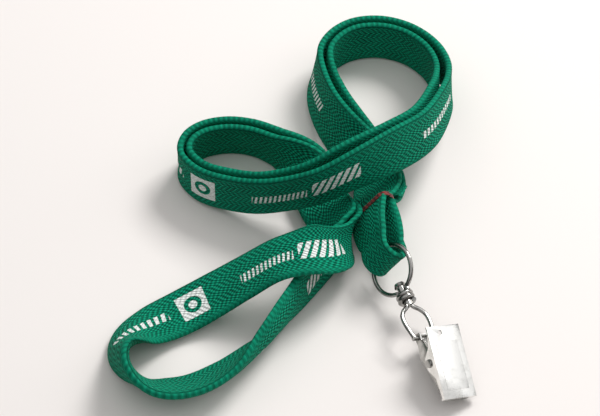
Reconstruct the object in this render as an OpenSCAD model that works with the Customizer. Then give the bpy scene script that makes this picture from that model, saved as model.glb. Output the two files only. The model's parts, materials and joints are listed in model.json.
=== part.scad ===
// Lanyard badge holder: a flat woven neck strap laid in folds, its doubled end folded
// round a wire ring, a turning wire loop and a spring clip for the badge.
// Units mm, +Z up, the strap and the clip resting on Z = 0.

/* [Strap] */
// width of the woven strap
strap_width = 16; // [12:0.5:20]
// thickness of the flattened tube of cloth
strap_thickness = 1.8; // [1:0.1:2]
// width of the strap where it is gathered on the ring
fold_width = 11; // [9:0.5:12]
// inside radius of the fold that holds the ring
fold_inner_radius = 3; // [2.8:0.1:4]
// distance from the fold to the thread tie
fold_length = 17; // [14:0.5:20]
// thickness of the thread tie round both runs
tie_thickness = 0.7; // [0.4:0.1:1.2]

/* [Ring] */
// middle radius of the wire ring
ring_radius = 7.6; // [7:0.1:10]
// wire diameter of the ring and its coil
ring_wire = 1.4; // [1:0.1:1.6]
// number of turns in the coil
coil_turns = 3; // [2:1:4]
// how far the ring hangs down from the line of the fold, degrees
ring_swing = 14; // [0:1:25]

/* [Swivel] */
// running clearance of the swivel neck in the coil
neck_clearance = 0.08; // [0.03:0.01:0.1]
// wire diameter of the swivel loop
loop_wire = 1.4; // [1:0.1:1.6]
// length of the swivel loop from the coil to the lever
loop_length = 12.2; // [11:0.1:16]
// outside half width of the swivel loop, middle of the wire
loop_half_width = 4.6; // [4:0.1:6]
// turn of the swivel in the coil, degrees
swivel_turn = -77; // [-90:1:-60]

/* [Clip] */
// length of the upper jaw plate
plate_length = 22; // [20:0.5:26]
// width of the upper jaw plate
plate_width = 11.8; // [11:0.2:14]
// thickness of the clip's sheet metal
sheet = 0.6; // [0.4:0.1:0.8]
// radius of the hinge pin
pin_radius = 0.8; // [0.6:0.05:1]
// running clearance between the lever's ears and the pin
pin_clearance = 0.06; // [0.03:0.01:0.1]
// gap between the closed jaws
jaw_gap = 0.15; // [0.1:0.05:0.3]
// wire diameter of the torsion spring
spring_wire = 0.6; // [0.4:0.05:0.7]
// slope of the lever against the swivel loop, degrees
clip_pitch = 17; // [0:1:25]

/* [Hidden] */
// where the frame's origin sits on the laid strap
origin_shift = [-2.64, -6.25, -0.04];
// steps of the curve between two route points
route_steps = 3;
// how much higher the laid runs stand on each other with a wider strap
laid_width = 16;
lay_rise = strap_width / laid_width;
round_fine = 48;
round_wire = 24;

// Doubled band from the thread tie to the fork: x, y, lift of the lower edge,
// lean of the band, half the spread of its two runs.
band_route = [
    [22, -8.6, 2.2, 38, 1.4], [23.9, -1.2, 0.8, 58, 1.6], [24.2, 6, 0, 65, 1.5],
    [20, 14, 0, 52, 1.6], [14.5, 23, 0, 34, 2.2], [10, 32, 0, 25, 2.2],
    [7, 42, 0, 18, 1.8], [7, 51, 0, 8, 1.6], [10.5, 57.5, 0, 3, 1.5],
    [17, 62, 0, 0, 1.5], [25.5, 63, 0, 0, 1.5], [33.5, 60.5, 0, 0, 1.5],
    [39.8, 55, 0.5, 0, 1.6], [43.5, 47.5, 2, 0, 1.8], [44.7, 39, 4.5, 3, 1.9],
    [43, 28, 9, 8, 1.9], [37.5, 14.5, 12.8, 14, 1.9], [28, 5.2, 15, 18, 2],
    [15, -1.6, 14.4, 8, 2.3], [5, -4.8, 11, 3, 2.1], [-4, -4.6, 7, 0, 1.7],
    [-13, -3.5, 4, 0, 1.5], [-22, -0.5, 2, 0, 1.5], [-30, 3.8, 0.5, 0, 1.4],
    [-35, 10, 0, 0, 1.4], [-34.6, 16, 0, 4, 1.4], [-30, 20.5, 0, 8, 1.4],
    [-22.5, 22.3, 0, 9, 1.4], [-14.5, 21.2, 0, 8, 1.4], [-7, 17.4, 0, 2, 1.5],
    [-1, 12.5, 0, -20, 1.5], [3.6, 7.3, 0, -50, 1.4], [6.1, 1.3, 0, -72, 1.3],
    [8.8, -5.1, 0, -70, 1.3], [12.4, -11.5, 0, -44, 1.4], [13.3, -17.5, 0, -4, 1.5]
];
// Neck loop past the fork, out along its upper run and back along the lower one:
// x, y, height of the middle, lean. Lifts and heights are those of a strap 16 wide.
neck_upper_route = [
    [13.2, -23.3, 12, 22], [9, -28.5, 17.1, 54], [2, -31.2, 19.2, 82],
    [-7, -32.8, 17.1, 93], [-16, -35, 11.8, 93], [-26, -38, 6.3, 90],
    [-35, -41.6, 3, 91], [-43.5, -46.3, 2.6, 99], [-50, -52.6, 5, 121],
    [-52.4, -60, 7.8, 158]
];
neck_lower_route = [
    [-49.3, -67.3, 8, 196], [-41.5, -71.3, 6.2, 228], [-31.5, -70.3, 5.7, 234],
    [-21.6, -64.8, 6.1, 227], [-13.4, -56.6, 7.7, 205], [-6.4, -48, 8.1, 187],
    [-1.2, -40.3, 8.1, 178], [2.6, -33.7, 8.1, 172], [6.2, -27.5, 8.1, 168],
    [9.4, -22.5, 8.1, 168]
];

// Curve through route points.
function between(a, b, c, d, t) =
    0.5 * (2 * b + (c - a) * t + (2 * a - 5 * b + 4 * c - d) * t * t + (3 * b - a - 3 * c + d) * t * t * t);
function curve(p, n) = [
    for (i = [0:len(p) - 2], k = [0:n - 1])
        between(p[max(i - 1, 0)], p[i], p[i + 1], p[min(i + 2, len(p) - 1)], k / n),
    p[len(p) - 1]
];
function part_of(v, first, last) = [for (i = [first:last]) v[i]];
function xyz(v) = [v[0], v[1], v[2]];
function level(v) = [v[0], v[1], 0] / norm([v[0], v[1]]);
function heading(c, i) = level(c[min(i + 1, len(c) - 1)] - c[max(i - 1, 0)]);

// Section of a ribbon: middle, direction of its printed face, direction of its upper
// edge, half width.
function face_way(h, lean) = cos(lean) * [-h[1], h[0], 0] + sin(lean) * [0, 0, 1];
function edge_way(h, lean) = -sin(lean) * [-h[1], h[0], 0] + cos(lean) * [0, 0, 1];
function section(middle, h, lean, half) = [middle, face_way(h, lean), edge_way(h, lean), half];

// Doubled band. One point ahead of the route sets its heading at the tie.
band_lead = [26.7, -15.9, 2.2, 38, 1.4];
band_all = curve(concat([band_lead], band_route), route_steps);
band = part_of(band_all, route_steps, len(band_all) - 1);
band_last = len(band) - 1;
function band_height(b) =
    b[2] * lay_rise + strap_width / 2 * abs(cos(b[3])) + (b[4] + strap_thickness / 2) * abs(sin(b[3]));
function band_section(i, side, half) =
    let (b = band[i], h = heading(band_all, i + route_steps))
    section([b[0], b[1], band_height(b)] + side * b[4] * face_way(h, b[3]), h, b[3], half);
outer_sections = [for (i = [0:band_last]) band_section(i, 1, strap_width / 2)];
inner_sections = [for (i = [0:band_last]) band_section(i, -1, strap_width / 2)];

// Neck loop, joined to the last sections of the two runs.
function risen(route) = [for (r = route) [r[0], r[1], r[2] * lay_rise, r[3]]];
function loop_point(s, i, flip) =
    [s[i][0][0], s[i][0][1], s[i][0][2], flip ? 180 - band[i][3] : band[i][3]];
neck_route = concat(
    [loop_point(outer_sections, band_last - route_steps, false), loop_point(outer_sections, band_last, false)],
    risen(neck_upper_route), risen(neck_lower_route),
    [loop_point(inner_sections, band_last, true), loop_point(inner_sections, band_last - route_steps, true)]
);
neck_all = curve(neck_route, route_steps);
neck = part_of(neck_all, route_steps, len(neck_all) - 1 - route_steps);
neck_last = len(neck) - 1;
neck_turn = (len(neck_upper_route) + 1) * route_steps;
band_middle = 17 * route_steps;
function turned_over(s) = [s[0], s[1], -s[2], s[3]];
neck_sections = [
    outer_sections[band_last],
    for (i = [1:neck_last - 1])
        section(xyz(neck[i]), heading(neck_all, i + route_steps), neck[i][3], strap_width / 2),
    turned_over(inner_sections[band_last])
];

// Outline of the flat cloth tube: across the width, through the thickness.
function cloth_outline(half, thick) = [
    [half, 0], [half - 0.14 * thick, 0.3 * thick], [half - 0.5 * thick, 0.5 * thick],
    [-half + 0.5 * thick, 0.5 * thick], [-half + 0.14 * thick, 0.3 * thick], [-half, 0],
    [-half + 0.14 * thick, -0.3 * thick], [-half + 0.5 * thick, -0.5 * thick],
    [half - 0.5 * thick, -0.5 * thick], [half - 0.14 * thick, -0.3 * thick]
];
// Closed skin over rows of points, each row n points round.
module skin(rows, n) {
    last = len(rows) - 1;
    points = [for (row = rows, p = row) p];
    sides = [
        for (i = [0:last - 1], k = [0:n - 1])
            let (a = i * n + k, b = i * n + (k + 1) % n, c = a + n, d = b + n)
            each [[a, c, b], [b, c, d]]
    ];
    caps = [
        for (k = [1:n - 2]) [0, k, k + 1],
        for (k = [1:n - 2]) [last * n, last * n + k + 1, last * n + k]
    ];
    polyhedron(points = points, faces = concat(sides, caps), convexity = 8);
}
module ribbon(sections, thick) {
    skin([
        for (s = sections)
            [for (o = cloth_outline(s[3], thick)) s[0] + o[0] * s[2] + o[1] * s[1]]
    ], 10);
}

// Fold round the ring, in its own frame: x toward the ring, y along the fold's bore.
tie_point = outer_sections[0][0] - band_route[0][4] * outer_sections[0][1];
fold_lean = 90 - band_route[0][3];
tie_heading = heading(band_all, route_steps);
fold_heading = atan2(-tie_heading[1], -tie_heading[0]);
fold_gap = 0.05;
fold_outer_radius = fold_inner_radius + strap_thickness;
spread = band_route[0][4];
module at_fold() {
    translate(-origin_shift) translate(tie_point) rotate([fold_lean, 0, fold_heading])
        translate([fold_length, 0, 0]) children();
}
// Tear-shaped outline: a circle with two straight sides running back to the tie, which
// start a little inside the circle.
side_overlap = 0.02;
function tangent_point(r, end) =
    let (d = norm(end), turn = atan2(end[1], end[0]) - acos(r / d))
    r * [cos(turn), sin(turn)];
module tear(r, half, width) {
    end = [-fold_length + fold_gap, half];
    touch = tangent_point(r - side_overlap, end);
    rotate([90, 0, 0]) union() {
        cylinder(r = r, h = width, center = true, $fn = round_fine);
        linear_extrude(width, center = true)
            polygon([end, touch, [touch[0], -touch[1]], [end[0], -half]]);
    }
}
module strap_fold() {
    taper_start = -fold_inner_radius;
    color("seagreen") at_fold() difference() {
        intersection() {
            tear(fold_outer_radius, spread + strap_thickness / 2, strap_width);
            linear_extrude(2 * fold_outer_radius + 1, center = true) polygon([
                [-fold_length, strap_width / 2], [taper_start, fold_width / 2],
                [fold_outer_radius + 1, fold_width / 2], [fold_outer_radius + 1, -fold_width / 2],
                [taper_start, -fold_width / 2], [-fold_length, -strap_width / 2]
            ]);
        }
        tear(fold_inner_radius, spread - strap_thickness / 2, strap_width + 1);
    }
}
module run_part(sections, first, last) {
    color("seagreen") translate(-origin_shift) ribbon(part_of(sections, first, last), strap_thickness);
}
module outer_right() {
    run_part(outer_sections, 0, band_middle);
}
module outer_left() {
    run_part(outer_sections, band_middle, band_last);
}
module inner_right() {
    run_part(inner_sections, 0, band_middle);
}
module inner_left() {
    run_part(inner_sections, band_middle, band_last);
}
module neck_upper() {
    run_part(neck_sections, 0, neck_turn);
}
module neck_lower() {
    run_part(neck_sections, neck_turn, neck_last);
}
// End of the cloth, tucked between the two runs and showing past their upper edge.
end_thickness = 0.8;
end_show = 1.6;
module strap_end() {
    color("darkgreen") translate(-origin_shift) ribbon([
        for (i = [2:4])
            let (s = band_section(i, 0, strap_width / 4))
            [s[0] + (strap_width / 4 + end_show) * s[2], s[1], s[2], s[3]]
    ], end_thickness);
}
// Thread wound round both runs beside the fold.
tie_width = 0.8;
module thread_tie() {
    half_high = spread + strap_thickness / 2 + 0.12;
    half_wide = strap_width / 2 + 0.05;
    color("firebrick") at_fold() translate([-fold_length - tie_width / 2 + 0.4, 0, 0])
        rotate([0, 90, 0]) linear_extrude(tie_width, center = true) difference() {
            square([2 * (half_high + tie_thickness), 2 * (half_wide + tie_thickness)], center = true);
            square([2 * half_high, 2 * half_wide], center = true);
        }
}

// Ring and coil, bent from one wire. Frame: middle of the ring, x toward the coil.
wire_radius = ring_wire / 2;
ring_reach = ring_radius - fold_inner_radius + wire_radius + 0.5;
coil_radius = 2.1;
coil_pitch = 0.93 * ring_wire;
coil_start = ring_radius + 1.15;
coil_end = coil_start + (coil_turns - 1) * coil_pitch + wire_radius;
ring_opening = asin(coil_radius / ring_radius);
module at_ring() {
    at_fold() rotate([0, ring_swing, 0]) translate([ring_reach, 0, 0]) children();
}
module ring_coil() {
    color("silver") at_ring() {
        rotate([0, 0, ring_opening])
            rotate_extrude(angle = 360 - 2 * ring_opening, $fn = round_fine)
            translate([ring_radius, 0]) circle(r = wire_radius, $fn = round_wire);
        ring_end = ring_radius * cos(ring_opening) - 0.1;
        for (side = [-1, 1])
            translate([ring_end, side * coil_radius, 0]) rotate([0, 90, 0])
                cylinder(r = wire_radius, h = coil_start - ring_end, $fn = round_wire);
        for (turn = [0:coil_turns - 1])
            translate([coil_start + turn * coil_pitch, 0, 0]) rotate([0, 90, 0])
                rotate_extrude($fn = round_fine)
                translate([coil_radius, 0]) circle(r = wire_radius, $fn = round_wire);
    }
}

// Swivel: a neck that turns in the coil, with a head on one side and a wire loop on
// the other. Frame: middle of the ring, x toward the lever, turned with the swivel.
neck_radius = coil_radius - wire_radius - neck_clearance;
head_radius = 1.9;
head_length = 1;
head_start = ring_radius - wire_radius - 1.7;
neck_end = coil_end + 0.9;
loop_radius = loop_wire / 2;
peg_at = coil_end + loop_length;
peg_side = 3.6;
peg_inner = 1.7;
module at_swivel() {
    at_ring() rotate([swivel_turn, 0, 0]) children();
}
module swivel_neck() {
    color("silver") at_swivel() rotate([0, 90, 0]) {
        translate([0, 0, head_start])
            cylinder(r1 = head_radius - 0.3, r2 = head_radius, h = head_length, $fn = round_fine);
        translate([0, 0, head_start + head_length])
            cylinder(r = neck_radius, h = neck_end - head_start - head_length, $fn = round_fine);
    }
}
function wire_row(p, h, r) = [
    for (a = [0:30:359]) p + r * (cos(a) * [-h[1], h[0], 0] + sin(a) * [0, 0, 1])
];
module half_loop(side) {
    route = curve([
        [neck_end - 0.5, 0.72, 0], [neck_end + 0.5, 1.3, 0], [neck_end + 1.6, 2.9, 0],
        [neck_end + 3.4, loop_half_width - 0.3, 0], [neck_end + 5.8, loop_half_width, 0],
        [neck_end + 8.6, loop_half_width - 0.4, 0], [peg_at, peg_side, 0]
    ], 4);
    mirror([0, side < 0 ? 1 : 0, 0])
        skin([for (i = [0:len(route) - 1]) wire_row(route[i], heading(route, i), loop_radius)], 12);
    translate([peg_at, side * (peg_side + loop_radius), 0]) rotate([side * 90, 0, 0])
        cylinder(r = loop_radius, h = peg_side + loop_radius - peg_inner, $fn = round_wire);
}
module swivel_loop_left() {
    color("silver") at_swivel() half_loop(1);
}
module swivel_loop_right() {
    color("silver") at_swivel() half_loop(-1);
}

// Clip. Frame: middle of the lever's tail bore, x toward the jaws, z toward the plate.
module at_lever() {
    at_swivel() translate([peg_at, 0, 0]) rotate([0, clip_pitch, 0]) children();
}
plate_top = 9.6;
plate_low = plate_top - sheet;
plate_back = -0.8;
plate_front = plate_back + plate_length;
pin_x = plate_back + 10.2;
pin_z = 6.6;
lip = 0.95;
lip_low = plate_low - lip;
lever_side = plate_width / 2 - sheet - 0.3;
tail_side = 2.5;
module side_profile(points, width) {
    rotate([90, 0, 0]) linear_extrude(width, center = true) polygon(points);
}
module cross_bore(r, width) {
    rotate([90, 0, 0]) cylinder(r = r, h = width, center = true, $fn = round_wire);
}
tooth_step = 1.6;
module teeth(z) {
    for (i = [-2:2])
        translate([plate_front - sheet / 2, i * tooth_step, z]) rotate([45, 0, 0])
            cube([3 * sheet, 0.5, 0.5], center = true);
}
module upper_jaw() {
    color("gainsboro") at_lever() difference() {
        union() {
            translate([plate_back, -plate_width / 2, plate_low]) cube([plate_length, plate_width, sheet]);
            translate([plate_front - sheet, -plate_width / 2, lip_low])
                cube([sheet, plate_width, lip + sheet / 2]);
            for (side = [-1, 1])
                translate([0, side * (plate_width - sheet) / 2, 0]) side_profile([
                    [plate_back + 1.2, plate_low + 0.3], [pin_x - 4.6, plate_low - 0.8],
                    [pin_x - 1.8, pin_z - 1.3], [pin_x + 1.8, pin_z - 1.3],
                    [pin_x + 5, plate_low - 1], [plate_front - 0.5, plate_low - 0.5],
                    [plate_front - 0.1, plate_low + 0.3]
                ], sheet);
        }
        translate([pin_x, 0, pin_z]) cross_bore(pin_radius, plate_width + 1);
        translate([plate_back + 2, -1.4, plate_low - 1]) cylinder(r = 0.7, h = 3, $fn = round_wire);
        teeth(lip_low);
    }
}
module plate_panel() {
    color("whitesmoke") at_lever() translate([pin_x - 5.4, -plate_width / 2 + 2, plate_top])
        cube([14.6, plate_width - 4, 0.12]);
}
module hinge_pin() {
    color("silver") at_lever() translate([pin_x, 0, pin_z]) {
        cross_bore(pin_radius, plate_width);
        for (side = [-1, 1])
            translate([0, side * (plate_width / 2 + 0.2), 0]) cross_bore(pin_radius + 0.45, 0.4);
    }
}
lever_tip = plate_front;
lever_lip_top = lip_low - jaw_gap;
module lever_outline(inset) {
    polygon([
        [-2 - inset, tail_side - inset], [2, tail_side - inset], [7, lever_side - inset],
        [pin_x + 3, lever_side - inset], [lever_tip + 1, 4 - inset],
        [lever_tip + 1, -4 + inset], [pin_x + 3, -lever_side + inset],
        [7, -lever_side + inset], [2, -tail_side + inset], [-2 - inset, -tail_side + inset]
    ]);
}
module lever() {
    color("gainsboro") at_lever() difference() {
        intersection() {
            side_profile([
                [-1.3, -1.2], [1.5, -1.2], [pin_x - 0.2, 3.3], [13.5, 5.2], [lever_tip, lever_lip_top - 1],
                [lever_tip, lever_lip_top], [lever_tip - sheet, lever_lip_top],
                [lever_tip - sheet, lever_lip_top - 0.3], [13.8, 6.6], [11.3, 7.6], [10.2, 8.1], [8.6, 8.1],
                [7.4, 7.2], [0.8, 1.3], [-1.3, 1.3]
            ], 2 * lever_side);
            translate([0, 0, -3]) linear_extrude(14) lever_outline(0);
        }
        intersection() {
            side_profile([
                [-2, -1.2 + sheet], [1.3, -1.2 + sheet], [pin_x - 0.4, 3.3 + sheet], [13.3, 5.2 + sheet],
                [lever_tip - sheet, lever_lip_top - 1 + sheet], [lever_tip - sheet, 12], [-2, 12]
            ], 2 * lever_side);
            translate([0, 0, -3]) linear_extrude(16) lever_outline(sheet);
        }
        translate([pin_x, 0, pin_z]) cross_bore(pin_radius + pin_clearance, plate_width);
        cross_bore(loop_radius + 0.06, plate_width);
        teeth(lever_lip_top);
    }
}
// Torsion spring round the pin: closed turns and a leg pressing on the lever's floor.
spring_radius = pin_radius + spring_wire / 2 + 0.2;
spring_turns = 4;
module torsion_spring() {
    color("silver") at_lever() translate([pin_x, 0, pin_z]) {
        for (i = [0:spring_turns - 1])
            translate([0, (i - (spring_turns - 1) / 2) * 0.93 * spring_wire, 0]) rotate([90, 0, 0])
                rotate_extrude($fn = round_fine)
                translate([spring_radius, 0]) circle(r = spring_wire / 2, $fn = round_wire);
        translate([0, -(spring_turns - 1) / 2 * 0.93 * spring_wire, -spring_radius])
            rotate([0, -127, 0])
            cylinder(r = spring_wire / 2, h = 4.5, $fn = round_wire);
    }
}

// part to draw
strap_fold();
outer_right();
outer_left();
inner_right();
inner_left();
neck_upper();
neck_lower();
strap_end();
thread_tie();
ring_coil();
swivel_neck();
swivel_loop_left();
swivel_loop_right();
upper_jaw();
plate_panel();
hinge_pin();
lever();
torsion_spring();
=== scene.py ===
"""Lanyard badge holder: woven neck strap, wire ring, turning wire loop and sprung clip.

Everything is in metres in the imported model's frame, +Z up, lying on Z = 0.
"""

import json
import logging
import math
from dataclasses import dataclass, replace
from enum import Enum
from typing import Any, Iterable, Optional, Sequence

import bpy
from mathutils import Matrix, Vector

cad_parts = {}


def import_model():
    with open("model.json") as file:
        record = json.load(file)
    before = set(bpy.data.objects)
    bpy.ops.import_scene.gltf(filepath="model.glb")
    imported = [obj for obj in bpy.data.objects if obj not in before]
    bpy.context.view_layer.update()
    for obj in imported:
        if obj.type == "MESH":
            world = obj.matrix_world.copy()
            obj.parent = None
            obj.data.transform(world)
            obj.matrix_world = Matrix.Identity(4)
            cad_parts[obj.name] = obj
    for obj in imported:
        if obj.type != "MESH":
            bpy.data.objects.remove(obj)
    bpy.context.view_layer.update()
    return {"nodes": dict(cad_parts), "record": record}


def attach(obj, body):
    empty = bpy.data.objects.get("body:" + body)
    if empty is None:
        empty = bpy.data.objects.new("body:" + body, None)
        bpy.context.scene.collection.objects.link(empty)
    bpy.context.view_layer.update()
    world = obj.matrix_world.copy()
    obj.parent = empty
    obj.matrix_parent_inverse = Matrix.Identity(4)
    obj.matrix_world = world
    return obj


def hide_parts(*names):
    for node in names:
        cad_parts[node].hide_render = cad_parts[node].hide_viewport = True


LOG = logging.getLogger("lanyard")
MM = 0.001
# The map of the strap's back face is moved this far aside, so it never takes ink.
BACK_SHIFT = 40.0
FACE_LIMIT = 20.0

# ---------------------------------------------------------------------------
# Route of the strap, in millimetres, the same points as the part's source.
# ---------------------------------------------------------------------------

ORIGIN_SHIFT = (-2.64, -6.25, -0.04)
BAND_LEAD = (26.7, -15.9, 2.2, 38, 1.4)
BAND_ROUTE = (
    (22, -8.6, 2.2, 38, 1.4), (23.9, -1.2, 0.8, 58, 1.6), (24.2, 6, 0, 65, 1.5),
    (20, 14, 0, 52, 1.6), (14.5, 23, 0, 34, 2.2), (10, 32, 0, 25, 2.2),
    (7, 42, 0, 18, 1.8), (7, 51, 0, 8, 1.6), (10.5, 57.5, 0, 3, 1.5),
    (17, 62, 0, 0, 1.5), (25.5, 63, 0, 0, 1.5), (33.5, 60.5, 0, 0, 1.5),
    (39.8, 55, 0.5, 0, 1.6), (43.5, 47.5, 2, 0, 1.8), (44.7, 39, 4.5, 3, 1.9),
    (43, 28, 9, 8, 1.9), (37.5, 14.5, 12.8, 14, 1.9), (28, 5.2, 15, 18, 2),
    (15, -1.6, 14.4, 8, 2.3), (5, -4.8, 11, 3, 2.1), (-4, -4.6, 7, 0, 1.7),
    (-13, -3.5, 4, 0, 1.5), (-22, -0.5, 2, 0, 1.5), (-30, 3.8, 0.5, 0, 1.4),
    (-35, 10, 0, 0, 1.4), (-34.6, 16, 0, 4, 1.4), (-30, 20.5, 0, 8, 1.4),
    (-22.5, 22.3, 0, 9, 1.4), (-14.5, 21.2, 0, 8, 1.4), (-7, 17.4, 0, 2, 1.5),
    (-1, 12.5, 0, -20, 1.5), (3.6, 7.3, 0, -50, 1.4), (6.1, 1.3, 0, -72, 1.3),
    (8.8, -5.1, 0, -70, 1.3), (12.4, -11.5, 0, -44, 1.4), (13.3, -17.5, 0, -4, 1.5),
)
# The neck loop's points add the tube's fullness and how far its middle bows out.
NECK_ROUTE = (
    (13.2, -23.3, 12, 22, 0, 0), (9, -28.5, 17.1, 54, 0, 0), (2, -31.2, 19.2, 82, 0, 0),
    (-7, -32.8, 17.1, 93, 0, 0.2), (-16, -35, 11.8, 93, 0, 0.3), (-26, -38, 6.3, 90, 0, 0.3),
    (-35, -41.6, 3, 91, 0.2, 0.3), (-43.5, -46.3, 2.6, 99, 0.7, 0.5), (-50, -52.6, 5, 121, 1.8, 0.8),
    (-52.4, -60, 7.8, 158, 2.8, 0.8), (-49.3, -67.3, 8, 196, 2.4, 0.8), (-41.5, -71.3, 6.2, 228, 1.2, 0.6),
    (-31.5, -70.3, 5.7, 234, 1, 0.8), (-21.6, -64.8, 6.1, 227, 1.6, 1.8), (-13.4, -56.6, 7.7, 205, 2, 2.8),
    (-6.4, -48, 8.1, 187, 1.4, 2.4), (-1.2, -40.3, 8.1, 178, 0.8, 1.4), (2.6, -33.7, 8.1, 172, 0.3, 0.6),
    (6.2, -27.5, 8.1, 168, 0, 0), (9.4, -22.5, 8.1, 168, 0, 0),
)


# ---------------------------------------------------------------------------
# Small tools
# ---------------------------------------------------------------------------

def linear(hex_colour: str) -> tuple[float, float, float, float]:
    """An sRGB hex colour as linear red, green, blue and alpha.

    Args:
        hex_colour: six hex digits, with or without a leading #.

    Returns:
        Four floats, alpha 1.
    """
    digits = hex_colour.lstrip("#")
    parts = [int(digits[i:i + 2], 16) / 255 for i in (0, 2, 4)]
    curve = [p / 12.92 if p <= 0.04045 else ((p + 0.055) / 1.055) ** 2.4 for p in parts]
    return (curve[0], curve[1], curve[2], 1.0)


def deselect_all() -> None:
    """Leaves object mode clean, with nothing selected."""
    if bpy.context.object is not None and bpy.context.object.mode != "OBJECT":
        bpy.ops.object.mode_set(mode="OBJECT")
    bpy.ops.object.select_all(action="DESELECT")


def make_active(obj: bpy.types.Object) -> None:
    """Selects one object alone and makes it active.

    Args:
        obj: the object.
    """
    deselect_all()
    obj.select_set(True)
    bpy.context.view_layer.objects.active = obj


def apply_modifiers(obj: bpy.types.Object) -> None:
    """Applies every modifier on an object, in order.

    Args:
        obj: the object.
    """
    make_active(obj)
    for modifier in list(obj.modifiers):
        bpy.ops.object.modifier_apply(modifier=modifier.name)


def new_mesh(
    name: str, points: Sequence[Sequence[float]], faces: Sequence[Sequence[int]]
) -> bpy.types.Object:
    """A linked mesh object made of points and faces.

    Args:
        name: the piece's name.
        points: corner positions in metres.
        faces: corner numbers of each face.

    Returns:
        The new object, at the origin.
    """
    mesh = bpy.data.meshes.new(name)
    mesh.from_pydata([tuple(p) for p in points], [], [tuple(f) for f in faces])
    mesh.update()
    obj = bpy.data.objects.new(name, mesh)
    bpy.context.scene.collection.objects.link(obj)
    return obj


def round_tube(name: str, path: Sequence[Vector], radius: float, sides: int = 12) -> bpy.types.Object:
    """A closed round tube along a path.

    Args:
        name: the piece's name.
        path: its middle line, in metres.
        radius: its radius, in metres.
        sides: corners round it.

    Returns:
        The new object.
    """
    points: list[Vector] = []
    faces: list[tuple[int, ...]] = []
    last_point = len(path) - 1
    first_way = (path[1] - path[0]).normalized()
    across = first_way.orthogonal().normalized()
    for i, p in enumerate(path):
        way = (path[min(i + 1, last_point)] - path[max(i - 1, 0)]).normalized()
        across = (across - across.dot(way) * way).normalized()
        other = way.cross(across)
        for k in range(sides):
            a = 2 * math.pi * k / sides
            points.append(p + radius * (math.cos(a) * across + math.sin(a) * other))
    for i in range(last_point):
        for k in range(sides):
            a, b = i * sides + k, i * sides + (k + 1) % sides
            faces.append((a, b, b + sides, a + sides))
    last = last_point * sides
    faces += [tuple(range(sides - 1, -1, -1)), tuple(range(last, last + sides))]
    obj = new_mesh(name, points, faces)
    face_outwards(obj)
    bpy.ops.object.shade_smooth_by_angle(angle=math.radians(50))
    return obj


def face_outwards(obj: bpy.types.Object) -> None:
    """Turns every face of a closed mesh outwards.

    Args:
        obj: the mesh object.
    """
    make_active(obj)
    bpy.ops.object.mode_set(mode="EDIT")
    bpy.ops.mesh.select_all(action="SELECT")
    bpy.ops.mesh.normals_make_consistent(inside=False)
    bpy.ops.object.mode_set(mode="OBJECT")


# ---------------------------------------------------------------------------
# Materials
# ---------------------------------------------------------------------------

MATHS = "ShaderNodeMath"
NOISE = "ShaderNodeTexNoise"
MIX = "ShaderNodeMix"
COLOURS = {"data_type": "RGBA"}
# a Mix node's colour output
MIXED = 2


class Sockets:
    """Adds nodes to one tree, a material's or the sky's."""

    def __init__(self, tree: bpy.types.NodeTree) -> None:
        """Takes the tree.

        Args:
            tree: where the nodes go.
        """
        self.tree = tree

    def add(
        self, kind: str, settings: Optional[dict[str, Any] | str] = None, *inputs: Any, **named: Any
    ) -> bpy.types.Node:
        """Adds one node with its settings and links.

        Args:
            kind: the node's type name.
            settings: node properties to set, or the node's operation alone.
            inputs: values, nodes or output sockets for the first inputs, in order.
            named: the same by input name (underscore for space) or as i6 for input 6.

        Returns:
            The new node.
        """
        node = self.tree.nodes.new(kind)
        settings = {"operation": settings} if isinstance(settings, str) else settings
        for key, value in (settings or {}).items():
            setattr(node, key, value)
        for index, value in enumerate(inputs):
            self.join(node, f"i{index}", value)
        for key, value in named.items():
            self.join(node, key, value)
        return node

    def join(self, node: bpy.types.Node, key: str, value: Any) -> None:
        """Sets one input of a node to a value or links it to an output.

        Args:
            node: the node.
            key: the input's name (underscore for space), or i6 for input 6.
            value: a value, an output socket, or a node whose first output is used.
        """
        numbered = key[0] == "i" and key[1:].isdigit()
        socket = node.inputs[int(key[1:])] if numbered else node.inputs[key.replace("_", " ")]
        if isinstance(value, bpy.types.Node):
            value = value.outputs[0]
        if isinstance(value, bpy.types.NodeSocket):
            self.tree.links.new(value, socket)
        else:
            socket.default_value = value

    def between(self, value: Any, low: float, high: float, soft: float) -> bpy.types.Node:
        """1 where a value lies between two others, with a soft edge, else 0.

        Args:
            value: the value's node or socket.
            low: lower bound.
            high: upper bound.
            soft: width of the edge.

        Returns:
            The mask's node.
        """
        away = self.add(MATHS, "ABSOLUTE", self.add(MATHS, "SUBTRACT", value, (low + high) / 2))
        inside = self.add(MATHS, "SUBTRACT", (high - low) / 2, away)
        return self.add("ShaderNodeClamp", None, self.add(MATHS, "DIVIDE", inside, soft))


class Surface(Sockets):
    """An empty node material with its surface shader."""

    def __init__(self, name: str) -> None:
        """Makes the material, its surface shader and its output.

        Args:
            name: the material's name.
        """
        self.material = bpy.data.materials.new(name)
        self.material.use_nodes = True
        super().__init__(self.material.node_tree)
        self.tree.nodes.clear()
        self.surface = self.add("ShaderNodeBsdfPrincipled")
        self.add("ShaderNodeOutputMaterial", None, Surface=self.surface)

    def finished(self, **values: Any) -> bpy.types.Material:
        """Sets the surface shader's inputs.

        Args:
            values: input name (underscore for space) to its value, node or socket.

        Returns:
            The material.
        """
        for key, value in values.items():
            self.join(self.surface, key, value)
        return self.material


class PrintSide(Enum):
    """Whether a cloth piece carries the printed marks."""

    PRINTED = "printed"
    PLAIN = "plain"


@dataclass(frozen=True)
class PrintedBlock:
    """One mark of the repeating print, in millimetres along and across the strap."""

    start: float
    end: float
    low: float
    high: float
    pitch: float
    fill: float
    slant: float = 0.0


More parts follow.
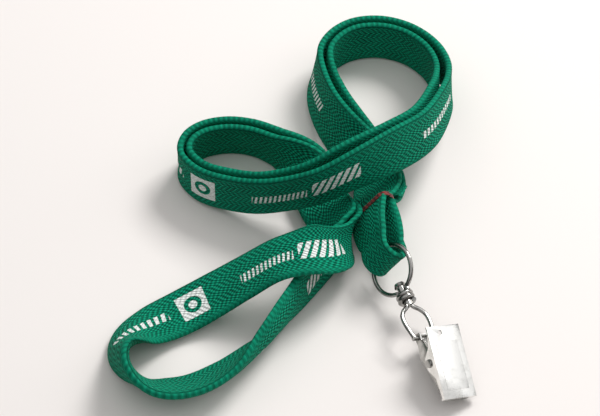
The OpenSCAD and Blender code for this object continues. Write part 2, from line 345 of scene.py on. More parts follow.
@dataclass(frozen=True)
class WovenPolyester:
    """Flat tube of polyester yarn in fine slanting ribs, dyed dark green, with a faint sheen.

    The stitch tops are painted lighter, as painted highlight, and the gaps between them darker, as painted
    shade.
    """

    name: str
    print_side: PrintSide
    # dyed yarn on a stitch top, painted lighter as if lit, and in the gap between stitches, painted darker
    # as painted shade
    lit_crown: str = "#0AA17C"
    shaded_gap: str = "#013528"
    # ribs and stitches of the weave, and the herringbone they slant in
    rib_pitch: float = 1.3
    stitch_pitch: float = 1.7
    herring_half: float = 2.1
    herring_slope: float = 0.55
    # relief of the stitches on the faces, and over the rolled edges where they flatten out
    face_relief: float = 0.34
    edge_relief: float = 0.16
    face_half: float = 6.9
    face_soft: float = 1.2
    # yarn fuzz, and slow changes of shade
    fuzz_scale: float = 2.3
    fuzz_share: float = 0.5
    cloud_scale: float = 0.12
    cloud_share: float = 0.3
    # the stitch height lifts the colour from the painted shade of the gaps to the lit stitch tops, and the
    # darkening pulls it all toward the painted shade
    stitch_share: float = 1.25
    darkening: float = 0.26
    # white ink lying on the stitches
    ink: str = "#EDF1EE"
    ink_least: float = 0.82
    ink_on_stitch: float = 0.25
    ink_soft: float = 0.15
    block_soft: float = 0.1
    period: float = 158.0
    clear_until: float = 47.0
    first_mark: float = 26.0
    blocks: tuple[PrintedBlock, ...] = (
        PrintedBlock(1, 17, -2.8, 2.8, 2.7, 0.66, 0.55),
        PrintedBlock(18.5, 36.5, -2.4, 0.8, 1.5, 0.6, 0.15),
        PrintedBlock(61, 82, -1.6, 1.6, 2.3, 0.6, 0.25),
        PrintedBlock(111, 136, -1.3, 1.3, 2.0, 0.66, 0.2),
    )
    square_start: float = 48.5
    square_size: float = 9.0
    ring_inside: float = 1.3
    ring_outside: float = 2.9
    # how the surface takes light
    roughness: float = 0.82
    stitch_gloss: float = -0.12
    sheen: float = 0.04
    sheen_roughness: float = 0.4
    sheen_tint: str = "#2FB58C"
    specular: float = 0.08
    relief_height: float = 0.00045
    fuzz_relief: float = 0.4

    def print_mask(self, s: Sockets, across: Any, along: Any) -> bpy.types.Node:
        """Generic bars, dashes and a square with a ring, repeating along the strap.

        Args:
            s: the material's sockets.
            across: millimetres from the middle of the printed face.
            along: millimetres along the strap.

        Returns:
            The mask's node, 1 on ink.
        """
        start = s.add(MATHS, "SUBTRACT", along, self.first_mark)
        place = s.add(MATHS, "FLOORED_MODULO", start, self.period)
        total: Any = 0.0
        for block in self.blocks:
            inside = s.between(place, block.start, block.end, self.block_soft)
            band = s.between(across, block.low, block.high, self.ink_soft)
            lean = s.add(MATHS, "MULTIPLY_ADD", across, block.slant, place)
            step = s.add(MATHS, "FLOORED_MODULO", lean, block.pitch)
            bars = s.between(step, 0.0, block.pitch * block.fill, self.ink_soft)
            mark = s.add(MATHS, "MULTIPLY", s.add(MATHS, "MULTIPLY", inside, band), bars)
            total = s.add(MATHS, "MAXIMUM", total, mark)
        half = self.square_size / 2
        length = s.between(place, self.square_start, self.square_start + self.square_size, self.ink_soft)
        width = s.between(across, -half, half, self.ink_soft)
        square = s.add(MATHS, "MULTIPLY", length, width)
        from_middle = s.add(MATHS, "SUBTRACT", place, self.square_start + half)
        along_squared = s.add(MATHS, "MULTIPLY", from_middle, from_middle)
        across_squared = s.add(MATHS, "MULTIPLY", across, across)
        radius = s.add(MATHS, "SQRT", s.add(MATHS, "ADD", along_squared, across_squared))
        ring = s.between(radius, self.ring_inside, self.ring_outside, self.ink_soft)
        square = s.add(MATHS, "MULTIPLY", square, s.add(MATHS, "SUBTRACT", 1.0, ring))
        return s.add(MATHS, "MAXIMUM", total, square)

    def weave(self, s: Sockets, across: Any, along: Any) -> bpy.types.Node:
        """Height of the stitches, which run along the strap in a slight herringbone.

        Args:
            s: the material's sockets.
            across: millimetres from the middle of the face.
            along: millimetres along the strap.

        Returns:
            The height's node, about 0 to 1.
        """
        folded = s.add(MATHS, "PINGPONG", across, self.herring_half)
        slant = s.add(MATHS, "ADD", along, s.add(MATHS, "MULTIPLY", folded, self.herring_slope))
        full_turn = 2 * math.pi
        rib = s.add(MATHS, "SINE", s.add(MATHS, "MULTIPLY", across, full_turn / self.rib_pitch))
        stitch = s.add(MATHS, "SINE", s.add(MATHS, "MULTIPLY", slant, full_turn / self.stitch_pitch))
        inner = s.between(across, -self.face_half, self.face_half, self.face_soft)
        depth = s.add(MATHS, "MULTIPLY_ADD", inner, self.face_relief, self.edge_relief)
        return s.add(MATHS, "MULTIPLY_ADD", s.add(MATHS, "MULTIPLY", rib, stitch), depth, 0.5)

    def build(self) -> bpy.types.Material:
        """Makes the material from the piece's own map: across and along in millimetres.

        Returns:
            The material.
        """
        s = Surface(self.name)
        place = s.add("ShaderNodeUVMap", {"uv_map": "cloth"})
        split = s.add("ShaderNodeSeparateXYZ", None, place)
        raw, along = split.outputs[0], split.outputs[1]
        on_back = s.add(MATHS, "GREATER_THAN", raw, FACE_LIMIT)
        across = s.add(MATHS, "SUBTRACT", raw, s.add(MATHS, "MULTIPLY", on_back, BACK_SHIFT))
        weave = self.weave(s, across, along)
        fuzz = s.add(NOISE, None, Vector=place, Scale=self.fuzz_scale, Detail=3.0, Roughness=0.6)
        cloud = s.add(NOISE, None, Vector=place, Scale=self.cloud_scale, Detail=2.0)
        squared = s.add(MATHS, "MULTIPLY", weave, weave)
        stitches = s.add(MATHS, "MULTIPLY", squared, self.stitch_share)
        shade = s.add(MATHS, "MULTIPLY_ADD", cloud, self.cloud_share, stitches)
        tone = s.add(MATHS, "MULTIPLY_ADD", fuzz, self.fuzz_share, shade)
        amount = s.add("ShaderNodeClamp", None, s.add(MATHS, "SUBTRACT", tone, self.darkening))
        # painted shade in the gaps and painted highlight on the stitch tops: the colour runs from the
        # shaded gap colour to the lit crown colour
        shaded_and_lit_dye = {"i6": linear(self.shaded_gap), "i7": linear(self.lit_crown)}
        cloth = s.add(MIX, COLOURS, amount, **shaded_and_lit_dye).outputs[MIXED]
        if self.print_side is PrintSide.PRINTED:
            mask = self.print_mask(s, across, along)
            on_front = s.add(MATHS, "LESS_THAN", raw, FACE_LIMIT)
            past_fold = s.add(MATHS, "GREATER_THAN", along, self.clear_until)
            shown = s.add(MATHS, "MULTIPLY", mask, s.add(MATHS, "MULTIPLY", on_front, past_fold))
            worn = s.add(MATHS, "MULTIPLY_ADD", weave, self.ink_on_stitch, self.ink_least)
            covered = s.add(MATHS, "MULTIPLY", shown, s.add(MATHS, "MINIMUM", worn, 1.0))
            cloth = s.add(MIX, COLOURS, covered, i6=cloth, i7=linear(self.ink)).outputs[MIXED]
        relief = s.add(MATHS, "MULTIPLY_ADD", fuzz, self.fuzz_relief, weave)
        return s.finished(
            Base_Color=cloth,
            Roughness=s.add(MATHS, "MULTIPLY_ADD", weave, self.stitch_gloss, self.roughness),
            Sheen_Weight=self.sheen,
            Sheen_Roughness=self.sheen_roughness,
            Sheen_Tint=linear(self.sheen_tint),
            Specular_IOR_Level=self.specular,
            Normal=s.add("ShaderNodeBump", None, Strength=1.0, Distance=self.relief_height, Height=relief),
        )


@dataclass(frozen=True)
class SewingThread:
    """Twisted polyester thread, red: fine slanting ply lines, slightly glossy."""

    name: str = "twisted_thread_red"
    colour: str = "#93291F"
    dark: str = "#4A100C"
    ply_pitch: float = 0.6
    # a wave texture at scale 1 repeats every metre over this
    wave_rate: float = 6.3
    roughness: float = 0.6
    sheen: float = 0.3
    relief_height: float = 0.0001

    def build(self) -> bpy.types.Material:
        """Makes the thread's material from object coordinates.

        Returns:
            The material.
        """
        s = Surface(self.name)
        place = s.add("ShaderNodeTexCoord").outputs["Object"]
        scale = 1 / (self.ply_pitch * MM) / self.wave_rate
        slanting = {"bands_direction": "DIAGONAL"}
        wave = s.add("ShaderNodeTexWave", slanting, Vector=place, Scale=scale, Distortion=1.5, Detail=1.0)
        plies = wave.outputs[1]
        shades = {"i6": linear(self.dark), "i7": linear(self.colour)}
        return s.finished(
            Base_Color=s.add(MIX, COLOURS, plies, **shades).outputs[MIXED],
            Roughness=self.roughness,
            Sheen_Weight=self.sheen,
            Normal=s.add("ShaderNodeBump", None, Strength=1.0, Distance=self.relief_height, Height=plies),
        )


class Finish(Enum):
    """How a nickel-plated piece was made."""

    DRAWN = "drawn wire"
    PRESSED = "pressed sheet"
    SPRING = "spring wire"


@dataclass(frozen=True)
class NickelPlate:
    """Bright nickel plate on steel: mirror-like and a little warm.

    Drawing lines, press marks and rubbed spots spread the highlights.
    """

    name: str
    finish: Finish
    colour: str = "#A8A7A4"
    dull: str = "#7C7B78"
    roughness: float = 0.12
    # rubbed spots: their size, where they begin and are full, and how much rougher they are
    spot_scale: float = 260.0
    spot_start: float = 0.45
    spot_full: float = 0.7
    spot_roughness: float = 0.12
    # scratches, long across the object and fine along it
    scratch_scale: tuple[float, float, float] = (400.0, 9000.0, 400.0)
    scratch_turn: tuple[float, float, float] = (0.4, 0.2, -1.25)
    scratch_roughness: float = 0.14
    polish: float = 0.05
    relief_height: float = 0.00002

    def build(self) -> bpy.types.Material:
        """Makes the metal's material from object coordinates.

        Returns:
            The material.
        """
        s = Surface(self.name)
        place = s.add("ShaderNodeTexCoord").outputs["Object"]
        fine = {Finish.DRAWN: 2200.0, Finish.PRESSED: 900.0, Finish.SPRING: 3000.0}[self.finish]
        grain = s.add(NOISE, None, Vector=place, Scale=fine, Detail=3.0, Roughness=0.65)
        smear = s.add(NOISE, None, Vector=place, Scale=self.spot_scale, Detail=2.0)
        drawn_out = s.add(
            "ShaderNodeMapping", None, Vector=place, Scale=self.scratch_scale, Rotation=self.scratch_turn
        )
        scratch = s.add(NOISE, None, Vector=drawn_out, Scale=1.0, Detail=2.0, Roughness=0.7)
        worn = s.add("ShaderNodeMapRange", None, smear, self.spot_start, self.spot_full)
        shades = {"i6": linear(self.colour), "i7": linear(self.dull)}
        clean = self.roughness - self.polish
        spread = s.add(MATHS, "MULTIPLY_ADD", scratch, self.scratch_roughness, clean)
        relief = s.add(MATHS, "MULTIPLY_ADD", grain, 0.5, scratch)
        return s.finished(
            Base_Color=s.add(MIX, COLOURS, worn, **shades).outputs[MIXED],
            Metallic=1.0,
            Roughness=s.add(MATHS, "MULTIPLY_ADD", worn, self.spot_roughness, spread),
            Normal=s.add("ShaderNodeBump", None, Strength=0.5, Distance=self.relief_height, Height=relief),
        )


@dataclass(frozen=True)
class StudioPaper:
    """Matt white paper: nearly even, with a trace of tooth."""

    name: str = "matt_paper"
    colour: str = "#E9E4E1"
    dull: str = "#DFDAD7"
    tooth_scale: float = 700.0
    tooth_share: float = 0.06
    roughness: float = 0.9
    specular: float = 0.1

    def build(self) -> bpy.types.Material:
        """Makes the floor's material.

        Returns:
            The material.
        """
        s = Surface(self.name)
        place = s.add("ShaderNodeTexCoord").outputs["Object"]
        grain = s.add(NOISE, None, Vector=place, Scale=self.tooth_scale, Detail=2.0)
        tooth = s.add(MATHS, "MULTIPLY", grain, self.tooth_share)
        shades = {"i6": linear(self.colour), "i7": linear(self.dull)}
        return s.finished(
            Base_Color=s.add(MIX, COLOURS, tooth, **shades).outputs[MIXED],
            Roughness=self.roughness,
            Specular_IOR_Level=self.specular,
        )


# ---------------------------------------------------------------------------
# The strap
# ---------------------------------------------------------------------------

Row = tuple[float, ...]


@dataclass(frozen=True)
class Section:
    """One cut across the strap.

    It has its middle, the ways to its printed face and upper edge, half its width, how much fuller
    than flat it is, how far its middle bows out, and its distance along the strap.
    """

    middle: Vector
    face: Vector
    edge: Vector
    half: float
    full: float = 0.0
    bow: float = 0.0
    run: float = 0.0


def curve_through(route: Sequence[Row], steps: int) -> list[list[float]]:
    """A smooth curve through route points.

    Args:
        route: points of any number of values.
        steps: how many steps between two points.

    Returns:
        The curve's points, the last route point included.
    """
    out: list[list[float]] = []
    last = len(route) - 1
    for i in range(last):
        a, b, c, d = route[max(i - 1, 0)], route[i], route[i + 1], route[min(i + 2, last)]
        for k in range(steps):
            t = k / steps
            out.append([
                0.5 * (2 * q + (r - p) * t + (2 * p - 5 * q + 4 * r - w) * t ** 2
                       + (3 * q - p - 3 * r + w) * t ** 3)
                for p, q, r, w in zip(a, b, c, d)
            ])
    out.append(list(route[last]))
    return out


def level_heading(points: Sequence[Sequence[float]], i: int) -> Vector:
    """The level direction of a curve at one of its points.

    Args:
        points: the curve's points.
        i: which point.

    Returns:
        A unit vector without height.
    """
    a, b = points[max(i - 1, 0)], points[min(i + 1, len(points) - 1)]
    return Vector((b[0] - a[0], b[1] - a[1], 0.0)).normalized()


def leaning_section(middle: Vector, heading: Vector, lean: float, half: float) -> Section:
    """A section that leans about its heading.

    Args:
        middle: the section's middle.
        heading: level direction of the run.
        lean: degrees from upright.
        half: half width.

    Returns:
        The section.
    """
    side = Vector((-heading.y, heading.x, 0.0))
    up = Vector((0.0, 0.0, 1.0))
    c, s = math.cos(math.radians(lean)), math.sin(math.radians(lean))
    return Section(middle, c * side + s * up, c * up - s * side, half)


@dataclass
class NeckStrap:
    """The woven strap: two stacked runs laid in folds, the neck loop and the fold on the ring."""

    width: float = 16.0
    thickness: float = 2.0
    fold_width: float = 11.0
    fold_inner_radius: float = 3.0
    fold_length: float = 17.0
    steps: int = 9
    outline_half: int = 11
    edge_steps: int = 6
    dip: float = 0.16
    end_show: float = 1.6
    end_thickness: float = 0.9
    end_full: float = 0.5
    # the fold's steps, how it narrows and fills out toward the ring, and which way the clip lies
    fold_leg_steps: int = 14
    fold_arc_steps: int = 30
    fold_taper: float = 0.6
    fold_full: float = 1.6
    fold_ease: float = 0.1
    toward_clip: tuple[float, float, float] = (0.2, -1.0, 0.0)
    thread_radius: float = 0.22
    thread_winds: int = 3
    thread_steps: int = 64
    thread_gap: float = 0.05
    thread_pitch: float = 2.1
    thread_rounding: float = 0.9
    thread_sides: int = 10

    def band_sections(self, side: int) -> list[Section]:
        """Sections of one run of the doubled band, from the tie to the fork.

        Args:
            side: 1 for the outer run, -1 for the inner one.

        Returns:
            The sections in order.
        """
        route = curve_through((BAND_LEAD,) + BAND_ROUTE, self.steps)
        out = []
        for i in range(self.steps, len(route)):
            x, y, lift, lean, spread = route[i]
            heading = level_heading(route, i)
            c, s = abs(math.cos(math.radians(lean))), abs(math.sin(math.radians(lean)))
            z = lift + self.width / 2 * c + (spread + self.thickness / 2) * s
            at = leaning_section(Vector((x, y, z)), heading, lean, self.width / 2)
            out.append(Section(at.middle + side * spread * at.face, at.face, at.edge, at.half))
        return out

    def neck_sections(self, outer: Sequence[Section], inner: Sequence[Section]) -> list[Section]:
        """Sections of the neck loop, from the end of the outer run to that of the inner.

        Args:
            outer: sections of the outer run.
            inner: sections of the inner run.

        Returns:
            The sections in order, without the two shared ones.
        """
        last_lean = BAND_ROUTE[-1][3]
        before_lean = BAND_ROUTE[-2][3]
        steps = self.steps

        def point(section: Section, lean: float) -> Row:
            """A route point at a section's middle."""
            return (section.middle.x, section.middle.y, section.middle.z, lean, 0.0, 0.0)

        route = [point(outer[-1 - steps], before_lean), point(outer[-1], last_lean), *NECK_ROUTE]
        route += [point(inner[-1], 180 - last_lean), point(inner[-1 - steps], 180 - before_lean)]
        line = curve_through(route, steps)
        out = []
        for i in range(steps + 1, len(line) - 1 - steps):
            x, y, z, lean, full, bow = line[i]
            at = leaning_section(Vector((x, y, z)), level_heading(line, i), lean, self.width / 2)
            out.append(replace(at, full=full, bow=bow))
        return out

    @staticmethod
    def with_run(sections: Sequence[Section], start: float = 0.0) -> list[Section]:
        """The sections with the distance run at each one.

        Args:
            sections: the cuts, in order.
            start: the distance at the first one, in millimetres.

        Returns:
            The sections again, with their distances.
        """
        out: list[Section] = []
        run = start
        for i, s in enumerate(sections):
            if i:
                run += (s.middle - sections[i - 1].middle).length
            out.append(replace(s, run=run))
        return out

    def outline(self, half: float, thick: float, full: float, bow: float) -> list[tuple[float, float]]:
        """The tube's outline as places across and through it, printed face first.

        The tube has rolled edges, and its faces dip a little between them unless it is full.

        Args:
            half: half the width.
            thick: thickness at the rolled edges.
            full: how much thicker the middle is than a flat tube's.
            bow: how far the middle stands out toward the printed face.

        Returns:
            Points in order round the outline.
        """
        n = self.outline_half
        edge = thick / 2
        half *= 1 - 0.67 * (bow / half) ** 2
        flat = half - edge
        points: list[tuple[float, float]] = []
        for side in (1, -1):
            for k in range(n):
                x = flat * (1 - 2 * k / (n - 1)) * side
                hollow = 1 - self.dip * (1 - (x / flat) ** 4)
                points.append((x, side * (edge * hollow + full / 2 * (1 - (x / half) ** 2))))
            for k in range(1, self.edge_steps):
                angle = math.pi * k / self.edge_steps
                points.append((-side * (flat + edge * math.sin(angle)), side * edge * math.cos(angle)))
        return [(x, y + bow * (1 - (x / half) ** 2) - bow / 2) for x, y in points]

    def across_map(self) -> list[float]:
        """The map's value at each point of the outline.

        Returns:
            -8 to 8 on the printed face, and the same moved aside on the back one.
        """
        n, half = self.outline_half, self.width / 2
        flat = half - self.thickness / 2
        front = [flat * (1 - 2 * k / (n - 1)) for k in range(n)]
        back = [BACK_SHIFT - x for x in front]
        rim = self.edge_steps - 1
        return front + [-half] * rim + back + [BACK_SHIFT + half] * rim

    def sweep(self, name: str, sections: Sequence[Section], thick: float = 0.0) -> bpy.types.Object:
        """A closed cloth tube along sections, with its map across and along.

        Args:
            name: the piece's name.
            sections: the cuts, in order.
            thick: thickness at the edges, or 0 for the strap's own.

        Returns:
            The new object.
        """
        shift = Vector(ORIGIN_SHIFT)
        rows = []
        for s in sections:
            outline = self.outline(s.half, thick or self.thickness, s.full, s.bow)
            rows.append([(s.middle + x * s.edge + y * s.face - shift) * MM for x, y in outline])
        n = len(rows[0])
        points = [p for row in rows for p in row]
        faces = []
        for i in range(len(rows) - 1):
            for k in range(n):
                a, b = i * n + k, i * n + (k + 1) % n
                faces.append((a, b, b + n, a + n))
        last = (len(rows) - 1) * n
        faces.append(tuple(range(n - 1, -1, -1)))
        faces.append(tuple(last + k for k in range(n)))
        obj = new_mesh(name, points, faces)
        values = self.across_map()
        layer = obj.data.uv_layers.new(name="cloth")
        for polygon in obj.data.polygons:
            ks = [obj.data.loops[i].vertex_index % n for i in polygon.loop_indices]
            wrap = max(values[k] for k in ks) > FACE_LIMIT > min(values[k] for k in ks)
            for loop in polygon.loop_indices:
                vertex = obj.data.loops[loop].vertex_index
                u = values[vertex % n]
                if wrap:
                    u = u if u > FACE_LIMIT else BACK_SHIFT - u
                layer.data[loop].uv = (u, sections[vertex // n].run)
        face_outwards(obj)
        bpy.ops.object.shade_smooth()
        return obj

    def fold_sections(self, first: Section) -> list[Section]:
        """Sections of the cloth that wraps the ring, from the inner run round to the outer.

        Args:
            first: the outer run's section at the tie.

        Returns:
            The sections in order.
        """
        spread = BAND_ROUTE[0][4]
        away = first.edge.cross(first.face).normalized()
        toward = -away if away.dot(Vector(self.toward_clip)) < 0 else away
        middle = first.middle - spread * first.face
        eye = middle + self.fold_length * toward
        radius = self.fold_inner_radius + self.thickness / 2 - self.fold_ease
        end = Vector((-self.fold_length, spread))
        turn = math.degrees(math.atan2(end.y, end.x)) - math.degrees(math.acos(radius / end.length))
        path: list[tuple[float, float, float, float]] = []
        touch = (radius * math.cos(math.radians(turn)), radius * math.sin(math.radians(turn)))
        leg = self.fold_leg_steps
        for k in range(leg):
            t = k / leg
            x, z = end.x + (touch[0] - end.x) * t, end.y + (touch[1] - end.y) * t
            path.append((x, z, math.cos(math.radians(turn)), math.sin(math.radians(turn))))
        arc = self.fold_arc_steps
        for k in range(arc + 1):
            a = math.radians(turn * (1 - 2 * k / arc))
            path.append((radius * math.cos(a), radius * math.sin(a), math.cos(a), math.sin(a)))
        for x, z, nx, nz in reversed(path[:leg]):
            path.append((x, -z, nx, -nz))
        out = []
        for x, z, nx, nz in path:
            straight = self.fold_length - self.fold_inner_radius
            share = min(max((-self.fold_inner_radius - x) / straight, 0.0), 1.0)
            half = (self.fold_width + (self.width - self.fold_width) * share ** self.fold_taper) / 2
            full = self.fold_full * math.sin(math.pi * share)
            middle = eye + x * toward + (z + math.copysign(full / 2, z)) * first.face
            out.append(Section(middle, nx * toward + nz * first.face, first.edge, half, full))
        return out

    def end_sections(self) -> list[Section]:
        """Sections of the cloth's raw end, tucked between the two runs."""
        outer, inner = self.band_sections(1), self.band_sections(-1)
        out = []
        for i in range(2 * self.steps // 3, 4 * self.steps // 3 + 1):
            middle = (outer[i].middle + inner[i].middle) / 2
            middle = middle + (self.width / 4 + self.end_show) * outer[i].edge
            out.append(replace(outer[i], middle=middle, half=self.width / 4, full=self.end_full))
        return out

    def thread(self, first: Section) -> bpy.types.Object:
        """Red thread wound round both runs beside the fold.

        Args:
            first: the outer run's section at the tie.

        Returns:
            The wound thread.
        """
        spread = BAND_ROUTE[0][4]
        along = first.edge.cross(first.face).normalized()
        middle = first.middle - spread * first.face
        high = spread + self.thickness / 2 + self.thread_radius + self.thread_gap
        wide = self.width / 2 + self.thread_radius + self.thread_gap
        corner = min(high, wide) * self.thread_rounding
        path: list[Vector] = []
        around = self.thread_steps
        for k in range(around * self.thread_winds + 1):
            angle = 2 * math.pi * k / around
            c, s = math.cos(angle), math.sin(angle)
            x = math.copysign(wide - corner, c) + corner * c if abs(c) > 1e-6 else 0.0
            y = math.copysign(high - corner, s) + corner * s if abs(s) > 1e-6 else 0.0
            turn = (k / around - self.thread_winds / 2) * self.thread_pitch * self.thread_radius
            path.append(middle + x * first.edge + y * first.face + turn * along)
        shift = Vector(ORIGIN_SHIFT)
        line = [(p - shift) * MM for p in path]
        return round_tube("wound_thread", line, self.thread_radius * MM, self.thread_sides)

    def build(self) -> None:
        """Makes the strap's pieces and dresses them."""
        outer = self.band_sections(1)
        inner = self.band_sections(-1)
        neck = self.neck_sections(outer, inner)
        back = [replace(s, edge=-s.edge) for s in reversed(inner)]
        whole = self.with_run([*outer, *neck, *back])
        strap = self.sweep("neck_strap", whole)
        printed = WovenPolyester("woven_polyester_printed", PrintSide.PRINTED)
        strap.data.materials.append(printed.build())
        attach(strap, "strap")
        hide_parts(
            "outer_right", "outer_left", "inner_right", "inner_left", "neck_upper", "neck_lower"
        )
        end = self.sweep("strap_end_cloth", self.with_run(self.end_sections()), self.end_thickness)
        end.data.materials.append(WovenPolyester("woven_polyester_raw_end", PrintSide.PLAIN).build())
        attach(end, "strap")
        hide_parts("strap_end")
        wound = self.thread(outer[0])
        wound.data.materials.append(SewingThread().build())
        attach(wound, "strap")
        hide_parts("thread_tie")
        fold_line = self.with_run(self.fold_sections(outer[0]))
        fold = self.sweep("strap_fold_cloth", fold_line)
        fold.data.materials.append(WovenPolyester("woven_polyester_plain", PrintSide.PLAIN).build())
        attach(fold, "strap")
        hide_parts("strap_fold")


# ---------------------------------------------------------------------------
# Metal parts
# ---------------------------------------------------------------------------

@dataclass
class WoundRing:
    """The wire ring and its coil, wound from one length of wire.

    The coil is a helix of 2.4 turns in the room of the frame's three closed turns.
    """

    radius: float = 7.6
    wire: float = 1.4
    coil_radius: float = 2.1
    # from the ring's middle line to the coil's first turn, and from its middle to the swivel's pivot
    coil_gap: float = 1.15
    to_pivot: float = 10.0
    # turns are wound a little closer than the wire is thick
    packing: float = 0.93
    turns: float = 2.4
    lead: float = 0.2
    # how far the wire's free end stops short of the coil, and where it leaves the ring
    end_gap: float = 0.2
    leaving: float = 0.8
    ring_steps: int = 120
    turn_steps: int = 40
    # steps left out where the ring runs on into the coil
    skipped: int = 3
    sides: int = 20

    def path(self) -> list[Vector]:
        """The wire's middle line.

        Returns:
            Points in millimetres in the ring's own frame, x toward the coil.
        """
        opening = math.asin(self.coil_radius / self.radius)
        coil_start = self.radius + self.coil_gap
        pitch = self.packing * self.wire
        free_end = (coil_start - self.end_gap, coil_start - self.leaving)
        line = [Vector((x, self.coil_radius, 0.0)) for x in free_end]
        steps = self.ring_steps
        for k in range(steps + 1):
            a = opening + (2 * math.pi - 2 * opening) * k / steps
            line.append(Vector((self.radius * math.cos(a), self.radius * math.sin(a), 0.0)))
        around = self.turn_steps
        for k in range(self.skipped, int(self.turns * around) + 1):
            a = -math.pi / 2 + 2 * math.pi * k / around
            x = coil_start + pitch * (k / around - self.lead)
            line.append(Vector((x, self.coil_radius * math.sin(a), -self.coil_radius * math.cos(a))))
        return line

    def build(self, joints: dict[str, dict[str, Any]]) -> bpy.types.Object:
        """Winds the ring where the joints say it is.

        Args:
            joints: the record's joints by name.

        Returns:
            The ring.
        """
        x = Vector(joints["swivel_turn"]["axis"]).normalized()
        y = Vector(joints["ring_swing"]["axis"]).normalized()
        z = x.cross(y)
        middle = Vector(joints["swivel_turn"]["pos_m"]) - self.to_pivot * MM * x
        line = [middle + MM * (p.x * x + p.y * y + p.z * z) for p in self.path()]
        ring = round_tube("wound_ring", line, self.wire / 2 * MM, self.sides)
        ring.data.materials.append(NickelPlate("nickel_plated_ring_wire", Finish.DRAWN).build())
        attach(ring, "ring")
        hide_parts("ring_coil")
        return ring


@dataclass(frozen=True)
class SoftEdged:
    """One metal part with its sheared edges rounded over."""

    node: str
    name: str
    body: str
    slot: str
    edge: float


@dataclass
class Hardware:
    """The ring, swivel and clip, with their finishes."""

    wires: tuple[str, ...] = ("swivel_neck", "swivel_loop_left", "swivel_loop_right")
    softened: tuple[SoftEdged, ...] = (
        SoftEdged("upper_jaw", "pressed_upper_jaw", "plate", "plate", 0.14),
        SoftEdged("plate_panel", "raised_panel", "plate", "plate", 0.05),
        SoftEdged("lever", "pressed_lever", "lever", "plate", 0.12),
        SoftEdged("hinge_pin", "headed_hinge_pin", "plate", "wire", 0.12),
    )
    springs: tuple[str, ...] = ("torsion_spring",)

    @staticmethod
    def soften(node: bpy.types.Object, part: SoftEdged) -> bpy.types.Object:
        """A copy of a frame node with its corners rounded.

        Args:
            node: the frame's node.
            part: what the copy is and how wide its rounded edges are.

        Returns:
            The rounded copy.
        """
        mesh = node.data.copy()
        obj = bpy.data.objects.new(part.name, mesh)
        bpy.context.scene.collection.objects.link(obj)
        make_active(obj)
        bpy.ops.mesh.customdata_custom_splitnormals_clear()
        bpy.ops.object.mode_set(mode="EDIT")
        bpy.ops.mesh.select_all(action="SELECT")
        bpy.ops.mesh.remove_doubles(threshold=0.000003)
        bpy.ops.mesh.dissolve_limited(angle_limit=math.radians(1.0))
        bpy.ops.mesh.normals_make_consistent(inside=False)
        bpy.ops.object.mode_set(mode="OBJECT")
        bevel = obj.modifiers.new("rounded_edges", "BEVEL")
        bevel.width = part.edge * MM
        bevel.segments = 3
        bevel.limit_method = "ANGLE"
        bevel.angle_limit = math.radians(35)
        apply_modifiers(obj)
        bpy.ops.object.shade_smooth_by_angle(angle=math.radians(40))
        return obj

    def dress(self, nodes: dict[str, bpy.types.Object]) -> None:
        """Gives every metal part its finish, and rounds the pressed parts' edges.

        Args:
            nodes: the frame's nodes by name.
        """
        wire = NickelPlate("nickel_plated_drawn_wire", Finish.DRAWN).build()
        sheet = NickelPlate(
            "nickel_plated_pressed_sheet", Finish.PRESSED, colour="#F2F1EE", dull="#E2E1DD", roughness=0.15
        ).build()
        # the lever is the same pressed nickel sheet as the jaw, made darker all over as painted shade,
        # since it lies under the plate in its shadow
        lever_sheet_in_painted_shade = NickelPlate(
            "nickel_plated_sheet_painted_shade", Finish.PRESSED, colour="#C2C1BE", dull="#95948F", roughness=0.18
        ).build()
        spring = NickelPlate(
            "bright_spring_wire", Finish.SPRING, colour="#B9B8B4", roughness=0.22
        ).build()
        finishes = {name: wire for name in self.wires} | {name: spring for name in self.springs}
        finishes |= {"upper_jaw": sheet, "plate_panel": sheet, "lever": lever_sheet_in_painted_shade, "hinge_pin": wire}
        for name, material in finishes.items():
            nodes[name].data.materials.clear()
            nodes[name].data.materials.append(material)
            LOG.info("%s: %s", name, material.name)
        for part in self.softened:
            piece = self.soften(nodes[part.node], part)
            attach(piece, part.body)
            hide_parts(part.node)
            LOG.info("%s: %d faces", part.name, len(piece.data.polygons))


# ---------------------------------------------------------------------------
# Studio
# ---------------------------------------------------------------------------

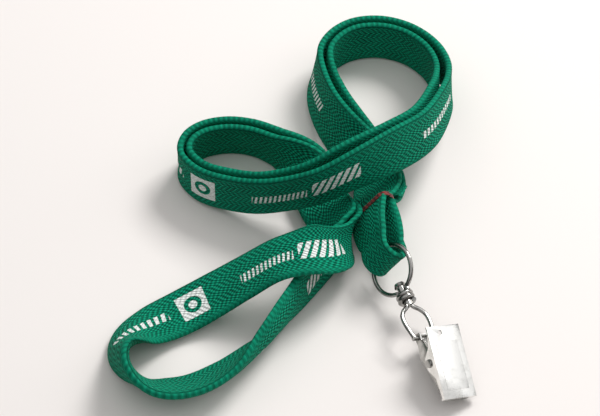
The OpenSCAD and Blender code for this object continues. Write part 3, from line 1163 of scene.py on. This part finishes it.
@dataclass
class Studio:
    """Camera, paper floor and soft lights."""

    distance: float = 0.9
    elevation: float = 52.0
    lens: float = 175.5
    sensor: float = 36.0
    floor_half: float = 1.6
    # the sky is dim near the horizon, so bright metal shows dark lines
    dark_below: float = 0.2
    bright_above: float = 0.85
    low_sky: float = 0.05
    high_sky: float = 0.8

    def camera(self) -> None:
        """Sets the camera looking down at the part from the front."""
        target = -Vector(ORIGIN_SHIFT) * MM
        rise = math.radians(self.elevation)
        data = bpy.data.cameras.new("camera")
        data.lens = self.lens
        data.sensor_width = self.sensor
        data.clip_start = 0.01
        cam = bpy.data.objects.new("camera", data)
        cam.location = target + self.distance * Vector((0.0, -math.cos(rise), math.sin(rise)))
        cam.rotation_euler = (math.pi / 2 - rise, 0.0, 0.0)
        bpy.context.scene.collection.objects.link(cam)
        bpy.context.scene.camera = cam

    def floor(self) -> None:
        """Lays the paper floor."""
        deselect_all()
        bpy.ops.mesh.primitive_plane_add(size=2 * self.floor_half, location=(0.0, 0.0, -0.0002))
        floor = bpy.context.object
        floor.name = "paper_floor"
        floor.data.materials.append(StudioPaper().build())

    def light(self, name: str, place: Sequence[float], size: float, power: float, colour: str) -> None:
        """One square soft light aimed at the part.

        Args:
            name: the light's name.
            place: where it stands, in metres.
            size: side of the light, in metres.
            power: watts.
            colour: hex colour.
        """
        data = bpy.data.lights.new(name, "AREA")
        data.shape = "SQUARE"
        data.size = size
        data.energy = power
        data.color = linear(colour)[:3]
        obj = bpy.data.objects.new(name, data)
        obj.location = place
        obj.rotation_euler = (-Vector(place)).to_track_quat("-Z", "Y").to_euler()
        bpy.context.scene.collection.objects.link(obj)

    def lights(self) -> None:
        """Sets a key from the back right, a broad side card and a sky that is dim near the horizon."""
        bpy.context.scene.view_settings.view_transform = "Standard"
        self.light("key", (0.55, 0.6, 0.85), 0.45, 11.1, "#FFFEFD")
        self.light("side_card", (0.83, 0.25, 0.53), 0.8, 1.8, "#FFFFFF")
        world = bpy.data.worlds.new("sky")
        bpy.context.scene.world = world
        world.use_nodes = True
        sky = Sockets(world.node_tree)
        place = sky.add("ShaderNodeTexCoord").outputs["Generated"]
        height = sky.add("ShaderNodeSeparateXYZ", None, place).outputs[2]
        smooth = {"interpolation_type": "SMOOTHSTEP"}
        limits = (self.dark_below, self.bright_above, self.low_sky, self.high_sky)
        rise = sky.add("ShaderNodeMapRange", smooth, height, *limits)
        background = world.node_tree.nodes["Background"]
        sky.join(background, "Color", linear("#FFFFFF"))
        sky.join(background, "Strength", rise)

    def build(self) -> None:
        """Sets up the whole studio."""
        self.camera()
        self.floor()
        self.lights()


def main() -> None:
    """Builds the studio, the strap and the hardware, in order."""
    logging.basicConfig(level=logging.INFO, format="%(name)s: %(message)s")
    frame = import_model()
    Studio().build()
    joints = {joint["name"]: joint for joint in frame["record"]["behaviour"]["joints"]}
    WoundRing().build(joints)
    NeckStrap().build()
    Hardware().dress(frame["nodes"])


if __name__ == "__main__":
    main()
